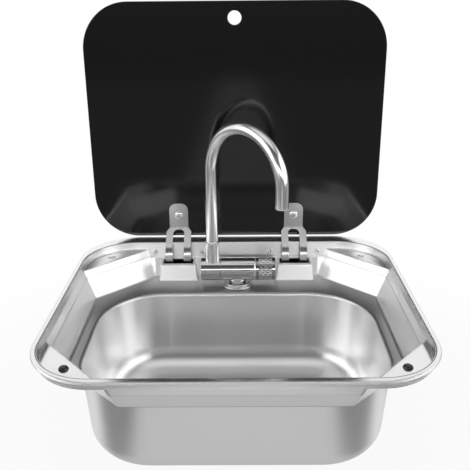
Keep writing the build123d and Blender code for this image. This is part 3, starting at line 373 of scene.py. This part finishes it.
def makeOutline():
    # distance to a rounded rectangle in the plan, positive outside it
    sizes = {"HalfX": 0.2, "HalfY": 0.2, "MidY": 0.0, "Corner": 0.05}
    group, given, result = newGroup("outlineDistance", sizes, ("Distance",))
    place = group.nodes.new("ShaderNodeSeparateXYZ")
    group.links.new(group.nodes.new("ShaderNodeTexCoord").outputs["Object"], place.inputs[0])
    corner = given.outputs["Corner"]
    alongY = mathNode(group, "SUBTRACT", place.outputs[1], given.outputs["MidY"])
    beyond = []
    for value, half in ((place.outputs[0], "HalfX"), (alongY, "HalfY")):
        straight = mathNode(group, "SUBTRACT", given.outputs[half], corner)
        beyond.append(mathNode(group, "SUBTRACT", mathNode(group, "ABSOLUTE", value, 0.0), straight))
    squares = [mathNode(group, "POWER", mathNode(group, "MAXIMUM", side, 0.0), 2.0) for side in beyond]
    outside = mathNode(group, "SQRT", mathNode(group, "ADD", *squares), 0.0)
    inside = mathNode(group, "MINIMUM", mathNode(group, "MAXIMUM", *beyond), 0.0)
    distance = mathNode(group, "SUBTRACT", mathNode(group, "ADD", outside, inside), corner)
    group.links.new(distance, result.inputs["Distance"])
    return group


outlineDistance = makeOutline()

pressedFinish = {
    "colour": (0.92, 0.92, 0.922),
    "paintedShadeColour": (0.2, 0.2, 0.2),  # painted shade: the thin dark line round the rim's inner edge and, less strong, the ledge's dark reflection of the lid and the line of the fold
    "rough": (0.28, 0.33),
    "patchScale": 14.0,
    "brushed": 0.6,  # how far highlights are drawn out across the rolling lines
    "creases": 0.003,  # rounding of the pressed folds
    "creaseSamples": 4,
    "grain": 0.12,
    "wave": 0.1,  # shallow waves left by the press
    "waveScale": 18.0,
    "waveDepth": 0.004,
    "recess": {"HalfX": 0.203, "HalfY": 0.1685, "MidY": -0.0075, "Corner": 0.0635},
    "basin": {"HalfX": 0.173, "HalfY": 0.119, "MidY": -0.021, "Corner": 0.08},
    "ledgeLevel": (-0.0495, -0.0478, -0.0462, -0.0445),
    "draft": 0.17,  # lean of the upper walls
    "draftLevel": (-0.0192, -0.0176),
    "padSides": (0.046, 0.05, 0.115, 0.119),  # the hinge pads lean as well
    "padFront": (0.12, 0.13),
    "foldShadeAt": (-0.0188, -0.0186, -0.0182, -0.018),  # faint painted shade line along the fold in the walls
    "foldShade": 0.35,
    "polish": 0.18,  # roughness of the rim and the corner plates
    "polishLevel": (-0.011, -0.0095),
    "polishFacing": (0.8, 0.95),
    "ledgeShade": (0.6, 0.35),  # painted shade, the ledge's dark reflection of the lid, from the basin's edge outwards
    "ledgeReach": (0.0, 0.05),
    "ledgeFall": 0.12,  # slope of the ledge towards the basin
    "rimLineShadeAt": (0.0006, 0.0009, 0.0016, 0.0019),  # painted shade: a thin dark line round the rim's inner edge
    "rimLineShadeLevel": (0.0, 0.0015),
}


def makePressedSteel(f):
    material, tree, surface = newMaterial("pressedSteel")
    surface.inputs["Metallic"].default_value = 1.0
    surface.inputs["Anisotropic"].default_value = f["brushed"]
    coords = tree.nodes.new("ShaderNodeTexCoord")
    place = tree.nodes.new("ShaderNodeSeparateXYZ")
    facing = tree.nodes.new("ShaderNodeSeparateXYZ")
    tree.links.new(coords.outputs["Object"], place.inputs[0])
    tree.links.new(coords.outputs["Normal"], facing.inputs[0])
    upright = mathNode(tree, "ABSOLUTE", facing.outputs[1], 0.0)
    drawn = tree.nodes.new("ShaderNodeCombineXYZ")
    tree.links.new(mathNode(tree, "SUBTRACT", 1.0, upright), drawn.inputs[1])
    tree.links.new(upright, drawn.inputs[2])
    tree.links.new(drawn.outputs[0], surface.inputs["Tangent"])
    recess = placeGroup(tree, outlineDistance, f["recess"])
    # painted shade along the rim's inner edge, on the rim's top only
    rimLineShade = bandMask(tree, recess.outputs["Distance"], f["rimLineShadeAt"])
    onTop = ramp(tree, place.outputs[2], *f["rimLineShadeLevel"], 0.0, 1.0)
    rimLineShadeOnTop = mathNode(tree, "MULTIPLY", rimLineShade, onTop)
    # painted shade is mixed into the steel's colour here: rim line, ledge and fold
    colours = tree.nodes.new("ShaderNodeMix")
    colours.data_type = "RGBA"
    colours.inputs["A"].default_value = (*f["colour"], 1)
    colours.inputs["B"].default_value = (*f["paintedShadeColour"], 1)
    basin = placeGroup(tree, outlineDistance, f["basin"])
    onLedge = bandMask(tree, place.outputs[2], f["ledgeLevel"])
    # painted shade on the ledge, strongest at the basin's edge
    fading = ramp(tree, basin.outputs["Distance"], *f["ledgeReach"], *f["ledgeShade"])
    shade = mathNode(tree, "MULTIPLY", onLedge, fading)
    # painted shade line along the fold
    fold = mathNode(tree, "MULTIPLY", bandMask(tree, place.outputs[2], f["foldShadeAt"]), f["foldShade"])
    paintedShade = mathNode(tree, "MAXIMUM", mathNode(tree, "MAXIMUM", rimLineShadeOnTop, shade), fold)
    tree.links.new(paintedShade, colours.inputs["Factor"])
    tree.links.new(colours.outputs["Result"], surface.inputs["Base Color"])
    patches = placeGroup(
        tree, slowPatches, {"Scale": f["patchScale"], "Low": f["rough"][0], "High": f["rough"][1]},
    )
    flat = ramp(tree, facing.outputs[2], *f["polishFacing"], 0.0, 1.0)
    polished = mathNode(tree, "MULTIPLY", flat, ramp(tree, place.outputs[2], *f["polishLevel"], 0.0, 1.0))
    gap = mathNode(tree, "SUBTRACT", f["polish"], patches.outputs["Value"])
    rough = mathNode(tree, "ADD", patches.outputs["Value"], mathNode(tree, "MULTIPLY", gap, polished))
    tree.links.new(rough, surface.inputs["Roughness"])
    fall = mathNode(tree, "MULTIPLY", basin.outputs["Distance"], f["ledgeFall"])
    rounded = tree.nodes.new("ShaderNodeBevel")
    rounded.samples = f["creaseSamples"]
    rounded.inputs["Radius"].default_value = f["creases"]
    lean = mathNode(tree, "MULTIPLY", place.outputs[2], -f["draft"])
    draft = addBump(tree, lean, 1.0, 1.0, rounded.outputs["Normal"])
    onPads = bandMask(tree, mathNode(tree, "ABSOLUTE", place.outputs[0], 0.0), f["padSides"])
    padLean = mathNode(tree, "MULTIPLY", onPads, ramp(tree, place.outputs[1], *f["padFront"], 0.0, 1.0))
    wallLean = ramp(tree, place.outputs[2], *f["draftLevel"], 0.0, 1.0)
    leaning = mathNode(tree, "MAXIMUM", padLean, wallLean)
    tree.links.new(leaning, draft.node.inputs["Strength"])
    ledge = addBump(tree, fall, 1.0, 1.0, draft)
    tree.links.new(onLedge, ledge.node.inputs["Strength"])
    waves = noiseAt(tree, stretched(tree, coords.outputs["Object"], *(f["waveScale"],) * 3), 1.0)
    waved = addBump(tree, waves, f["wave"], f["waveDepth"], ledge)
    lines = placeGroup(tree, sheetGrain, {})
    grained = addBump(tree, lines.outputs["Height"], f["grain"], grainDepth, waved)
    tree.links.new(grained, surface.inputs["Normal"])
    return material


def addPatches(tree, surface, scale, rough):
    patches = placeGroup(tree, slowPatches, {"Scale": scale, "Low": rough[0], "High": rough[1]})
    tree.links.new(patches.outputs["Value"], surface.inputs["Roughness"])


def addGrain(tree, surface, scales, strength):
    grain = placeGroup(tree, turnedGrain, dict(zip("XYZ", scales)))
    tree.links.new(addBump(tree, grain.outputs["Height"], strength, grainDepth), surface.inputs["Normal"])


# colour, roughness from and to, scale of its patches, grain's scale along X, Y and Z, grain's strength
metalFinishes = {
    "strapSteel": ((0.66, 0.66, 0.665), (0.2, 0.26), 60.0, (900.0, 900.0, 120.0), 0.12),
    "satinChrome": ((0.86, 0.86, 0.86), (0.17, 0.21), 30.0, (700.0, 700.0, 12.0), 0.1),
    "bodyChrome": ((0.7, 0.7, 0.705), (0.07, 0.1), 30.0, (25.0, 900.0, 900.0), 0.02),
    # painted shade: the knob's grip gets a darker copy of the tap's chrome
    "shadedGripChrome": ((0.42, 0.42, 0.42), (0.04, 0.06), 60.0, (60.0, 900.0, 900.0), 0.02),
    "footChrome": ((0.62, 0.62, 0.62), (0.1, 0.14), 60.0, (60.0, 60.0, 900.0), 0.02),
    "ringChrome": ((0.95, 0.95, 0.95), (0.14, 0.18), 60.0, (900.0, 900.0, 900.0), 0.02),
    "brightSteel": ((0.72, 0.72, 0.72), (0.1, 0.16), 80.0, (500.0, 500.0, 500.0), 0.04),
    "screwSteel": ((0.78, 0.78, 0.78), (0.05, 0.08), 300.0, (300.0, 300.0, 300.0), 0.15),
    "rivetSteel": ((0.8, 0.8, 0.8), (0.08, 0.12), 200.0, (700.0, 700.0, 700.0), 0.08),
    "turnedBrass": ((0.72, 0.5, 0.22), (0.2, 0.3), 60.0, (800.0, 800.0, 800.0), 0.08),
}


def makeMetal(name, colour, rough, patchScale, grain, bump):
    material, tree, surface = newMaterial(name)
    surface.inputs["Base Color"].default_value = (*colour, 1)
    surface.inputs["Metallic"].default_value = 1.0
    addPatches(tree, surface, patchScale, rough)
    addGrain(tree, surface, grain, bump)
    return material


# colour, specular level, roughness from and to, scale of its patches, grain's scale, grain's strength
dullFinishes = {
    "blackRubber": ((0.01, 0.01, 0.011), 0.6, (0.2, 0.26), 60.0, 1400.0, 0.15),
    "blackPlastic": ((0.013, 0.013, 0.014), 0.5, (0.35, 0.5), 40.0, 1100.0, 0.2),
    "whitePlastic": ((0.75, 0.75, 0.73), 0.5, (0.3, 0.45), 40.0, 900.0, 0.1),
    "ceramic": ((0.8, 0.79, 0.76), 0.6, (0.08, 0.14), 60.0, 900.0, 0.02),
}


def makeDull(name, colour, gloss, rough, patchScale, grain, bump):
    material, tree, surface = newMaterial(name)
    surface.inputs["Base Color"].default_value = (*colour, 1)
    surface.inputs["Specular IOR Level"].default_value = gloss
    addPatches(tree, surface, patchScale, rough)
    addGrain(tree, surface, (grain,) * 3, bump)
    return material


glassFinish = {
    "colour": (0.004, 0.004, 0.0045),
    "gloss": 0.5,
    "rough": (0.08, 0.1),
    "patchScale": 7.0,
    "wave": 0.01,  # safety glass is never quite flat
    "waveScale": 7.0,
    "waveDepth": 0.002,
}


def makeBlackGlass(f):
    material, tree, surface = newMaterial("blackGlass")
    surface.inputs["Base Color"].default_value = (*f["colour"], 1)
    surface.inputs["Specular IOR Level"].default_value = f["gloss"]
    addPatches(tree, surface, f["patchScale"], f["rough"])
    coords = tree.nodes.new("ShaderNodeTexCoord")
    waves = noiseAt(tree, stretched(tree, coords.outputs["Object"], *(f["waveScale"],) * 3), 1.0)
    tree.links.new(addBump(tree, waves, f["wave"], f["waveDepth"]), surface.inputs["Normal"])
    return material


materials = {name: makeMetal(name, *finish) for name, finish in metalFinishes.items()}
materials.update({name: makeDull(name, *finish) for name, finish in dullFinishes.items()})
materials["pressedSteel"] = makePressedSteel(pressedFinish)
materials["blackGlass"] = makeBlackGlass(glassFinish)

nodeFinish = {
    "pressedSteel": ("sink_bowl", "drain_flange"),
    "strapSteel": ("hinge_strap_left", "hinge_strap_right", "hinge_bracket_left", "hinge_bracket_right"),
    "satinChrome": ("spout_pipe", "spout_collar"),
    "bodyChrome": ("tap_body", "knob_cap", "spout_sleeve"),
    "shadedGripChrome": ("knob_sleeve",),
    "footChrome": ("tap_rosette",),
    "ringChrome": ("tap_ring",),
    "brightSteel": (
        "strap_screws", "glass_caps", "plug_disc", "plug_pull", "collar_screw",
        "hinge_pin_left", "hinge_pin_right",
    ),
    "rivetSteel": ("hinge_rivets",),
    "turnedBrass": ("tap_lock_nut", "tap_inlet_nozzle", "valve_spindle"),
    "blackGlass": ("lid_glass",),
    "blackRubber": (
        "rim_seal", "glass_bumpers", "tap_foot_seal", "journal_rings", "tap_under_washer",
        "drain_seal", "strap_pads", "pipe_ring", "plug_seal",
    ),
    "blackPlastic": (
        "hinge_housing_left", "hinge_housing_right", "drain_nut", "drain_body", "strap_bushes",
    ),
    "whitePlastic": ("aerator",),
    "ceramic": ("valve_seat_disc", "valve_turn_disc"),
}
for finishName, members in nodeFinish.items():
    for member in members:
        mesh = nodes[member].data
        mesh.materials.clear()
        mesh.materials.append(materials[finishName])
print("materials placed")

mergeGap = 1e-6  # points nearer than this become one


def spun(profile, segments):
    # profile points are (radius, height) in millimetres, turned about Z
    shape = bmesh.new()
    points = [shape.verts.new((radius / 1000, 0, height / 1000)) for radius, height in profile]
    for first, second in zip(points, points[1:]):
        shape.edges.new((first, second))
    outline = list(shape.verts) + list(shape.edges)
    bmesh.ops.spin(
        shape, geom=outline, axis=(0, 0, 1), cent=(0, 0, 0), steps=segments, angle=math.tau, use_merge=True,
    )
    bmesh.ops.remove_doubles(shape, verts=shape.verts, dist=mergeGap)
    bmesh.ops.recalc_face_normals(shape, faces=shape.faces)
    return shape


def copiesAt(shape, places, turned=Matrix()):
    # the same form at several places in millimetres, after a turn
    whole = bmesh.new()
    stamp = bpy.data.meshes.new("stamp")
    bmesh.ops.transform(shape, verts=shape.verts, matrix=turned)
    for place in places:
        moved = shape.copy()
        bmesh.ops.translate(moved, verts=moved.verts, vec=Vector(place) / 1000)
        moved.to_mesh(stamp)
        moved.free()
        whole.from_mesh(stamp)
    bpy.data.meshes.remove(stamp)
    shape.free()
    return whole


def turnedPiece(p, turned=Matrix()):
    return copiesAt(spun(p["profile"], p["segments"]), p["places"], turned)


def addPiece(name, shape, body, finish, stands=(), sharp=35.0):
    mesh = bpy.data.meshes.new(name)
    shape.to_mesh(mesh)
    shape.free()
    mesh.shade_smooth()
    mesh.set_sharp_from_angle(angle=math.radians(sharp))
    mesh.materials.append(materials[finish])
    piece = bpy.data.objects.new(name, mesh)
    bpy.context.scene.collection.objects.link(piece)
    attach(piece, body)
    if stands:
        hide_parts(*stands)


alongX = Matrix.Rotation(math.radians(90), 4, "Y")  # a spun form's top then looks to the right
alongY = Matrix.Rotation(math.radians(-90), 4, "X")  # its top then looks to the back

# hollow rivets of the hinge brackets
rivet = {
    "places": ((-115.8, 0, -12), (-48.8, 0, -12), (48.8, 0, -12), (115.8, 0, -12)),
    "profile": (
        (0.0, 162.2), (1.0, 162.1), (1.3, 161.4), (1.5, 160.3), (1.9, 159.8), (2.5, 159.6), (3.1, 159.75),
        (3.5, 160.1), (3.8, 160.5), (3.9, 160.85), (3.9, 161.0), (1.6, 161.0), (1.6, 164.7), (2.8, 164.7),
        (2.75, 165.2), (2.4, 165.75), (1.8, 166.1), (1.0, 165.9), (0.0, 165.5),
    ),
    "segments": 32,
}
addPiece("rivetHeads", turnedPiece(rivet, alongY), "sink", "rivetSteel", ("hinge_rivets",))

# pan-head screws through the straps, the glass and its caps
screw = {
    "tilt": 88.0,  # degrees from upright to the open glass's front
    "places": ((-82.3, 183.48, 36.45), (82.3, 183.48, 36.45)),
    "head": ((5.7, 2.3), (5.7, 2.9), (5.55, 3.4), (5.1, 3.95), (4.3, 4.35), (3.4, 4.6)),
    "middle": (3.2, 4.62, 4.75),  # radius and rise of the flat middle
    "shank": (2.5, -7.1),
    "segments": 96,
    "rings": 20,  # over the flat middle, so that the cross has points to sink
    "recess": (0.75, 2.8, 1.6),  # half width, reach and depth of the cross
    "taper": (1.1, 0.5),  # the cross is wider in the middle than at its ends
    "shallower": 0.3,  # share of the depth that is gone at its ends
}


def makeScrews(c):
    radius, low, high = c["middle"]
    count = c["rings"]
    middle = [(radius * i / count, high - (high - low) * (i / count) ** 2) for i in range(count + 1)]
    shank, foot = c["shank"]
    body = [(shank, c["head"][0][1]), (shank, foot), (0.0, foot)]
    shape = spun(middle + list(reversed(c["head"])) + body, c["segments"])
    half, reach, depth = c["recess"]
    wide, less = c["taper"]
    for vert in shape.verts:
        x, y = (abs(value) * 1000 for value in vert.co.xy)
        inCross = min(x, y) < half * (wide - max(x, y) / reach * less) and max(x, y) < reach
        if inCross and vert.co.z > 0:
            vert.co.z -= depth * (1.0 - c["shallower"] * max(x, y) / reach) / 1000
    return copiesAt(shape, c["places"], Matrix.Rotation(math.radians(c["tilt"]), 4, "X"))


addPiece("strapScrewHeads", makeScrews(screw), "lid", "screwSteel", ("strap_screws",), sharp=30.0)

# rubber domes on the front corner plates
bumper = {
    "places": ((-171, -143, 0), (171, -143, 0)),
    "profile": (
        (0.0, -5.75), (0.9, -5.72), (1.3, -5.6), (2.2, -5.65), (3.2, -5.85), (4.0, -6.25), (4.5, -6.8),
        (4.7, -7.4), (4.75, -7.9), (5.1, -8.0), (5.25, -8.2), (5.25, -8.6), (2.0, -8.6), (2.0, -11.0),
        (1.5, -11.1), (0.0, -11.1),
    ),
    "segments": 48,
}
addPiece("bumperDomes", turnedPiece(bumper), "sink", "blackRubber", ("glass_bumpers",))

# stepped round foot of the tap
foot = {
    "places": ((1.5, 126.0, 0.0),),
    "profile": (
        (10.1, -46.2), (21.2, -46.2), (21.5, -45.9), (21.5, -44.2), (21.3, -43.7), (20.9, -43.35),
        (20.3, -43.2), (19.4, -43.3), (18.9, -43.45), (18.6, -43.3), (18.5, -42.9), (18.5, -41.5),
        (18.3, -41.0), (17.9, -40.7), (17.3, -40.6), (16.6, -40.7), (15.6, -41.2), (14.4, -41.9),
        (13.4, -42.3), (12.6, -42.4), (12.2, -42.2), (10.1, -42.2), (10.1, -46.2),
    ),
    "segments": 96,
}
addPiece("tapFoot", turnedPiece(foot), "sink", "footChrome", ("tap_rosette",))

# knob with a diamond grip between two plain bands
grip = {
    "place": (0.0, 126.0, -22.8),
    "radius": 15.7,
    "ends": (26.8, 54.0),
    "grip": (30.5, 49.5),
    "depth": 1.0,
    "round": 15,  # diamonds round the knob
    "pitch": 6.4,
    "sharpness": 5.0,  # of the lines between the diamonds
    "fade": 0.6,  # at both ends of the grip
    "segments": 252,
    "steps": 56,
    "slack": 0.01,  # points this near the full radius are on the grip
    "seat": ((11.2, 2.0), (11.2, 0.0)),  # radius and depth, where the cap sits
    "edge": ((0.9, 0.0), (0.3, 0.25), (0.0, 0.9)),  # rounding of the free end
    "chamfer": 0.5,
    "bore": ((12.0, 6.0), (4.0, 6.0), (4.0, 4.0)),
}


def makeGrip(g):
    radius, start, end = g["radius"], g["ends"][0], g["ends"][1]
    low, high = g["grip"]
    inner = [(inside, end - deep) for inside, deep in g["seat"]]
    inner += [(radius - inward, end - deep) for inward, deep in g["edge"]]
    band = [(radius, high - (high - low) * i / g["steps"]) for i in range(g["steps"] + 1)]
    outer = [(radius, start + g["chamfer"]), (radius - g["chamfer"], start), (g["bore"][0][0], start)]
    outer += [(inside, end - deep) for inside, deep in g["bore"]]
    shape = spun(inner + band + outer, g["segments"])
    for vert in shape.verts:
        height = vert.co.z * 1000
        onSkin = math.hypot(vert.co.x, vert.co.y) * 1000 >= radius - g["slack"]
        if not (onSkin and low <= height <= high):
            continue
        turn = math.atan2(vert.co.y, vert.co.x) * g["round"] / math.tau
        level = (height - low) / g["pitch"]
        cuts = [abs((level + sign * turn) % 1.0 - 0.5) for sign in (-1, 1)]
        fade = min(1.0, (height - low) / g["fade"], (high - height) / g["fade"])
        sunk = g["depth"] * fade * max(0.0, 1.0 - g["sharpness"] * min(cuts))
        vert.co.xy *= 1 - sunk / radius
    return copiesAt(shape, (g["place"],), alongX)


addPiece("knobGrip", makeGrip(grip), "knob", "shadedGripChrome", ("knob_sleeve",), sharp=28.0)

# bright ring between the valve body and the knob
joint = {
    "places": ((0.0, 126.0, -22.8),),
    "profile": (
        (4.1, 24.5), (15.2, 24.5), (15.6, 24.7), (15.85, 25.1), (15.9, 25.5), (15.85, 25.9), (15.6, 26.3),
        (15.2, 26.5), (12.0, 26.5), (12.0, 40.5), (4.1, 40.5), (4.1, 24.5),
    ),
    "segments": 96,
}
addPiece("jointRing", turnedPiece(joint, alongX), "sink", "ringChrome", ("tap_ring",))

# thread on the tap's shank, in rows
thread = {
    "place": (1.5, 126.0, 0.0),
    "ends": (-59.0, -81.5),
    "radius": 10.0,
    "rise": 0.45,
    "pitch": 1.5,
    "segments": 64,
    "peak": 0.5,  # share of the pitch before a row's highest point
}

# barbs of the hose nozzle, each steep at its upper edge
barbs = {
    "place": (1.5, 126.0, 0.0),
    "ends": (-89.0, -104.0),
    "radius": 5.0,
    "rise": 0.9,
    "pitch": 5.0,
    "segments": 64,
    "peak": 0.06,
}

rowFlat = 0.1  # share of the pitch that stays at full height
rowEnd = 0.98
rowSkirt = 0.1  # how far the ends dip into the tube


def makeRidges(r):
    start, end = r["ends"]
    rows = int((start - end) / r["pitch"])
    profile = [(r["radius"] - rowSkirt, start)]
    for row in range(rows):
        top = start - row * r["pitch"]
        profile += [
            (r["radius"], top),
            (r["radius"] + r["rise"], top - r["pitch"] * r["peak"]),
            (r["radius"] + r["rise"], top - r["pitch"] * (r["peak"] + rowFlat)),
            (r["radius"], top - r["pitch"] * rowEnd),
        ]
    profile.append((r["radius"] - rowSkirt, start - rows * r["pitch"]))
    return copiesAt(spun(profile, r["segments"]), (r["place"],))


addPiece("shankThread", makeRidges(thread), "sink", "turnedBrass")
addPiece("nozzleBarbs", makeRidges(barbs), "sink", "turnedBrass")
print("detail pieces added")

bpy.context.scene.view_settings.view_transform = "Standard"
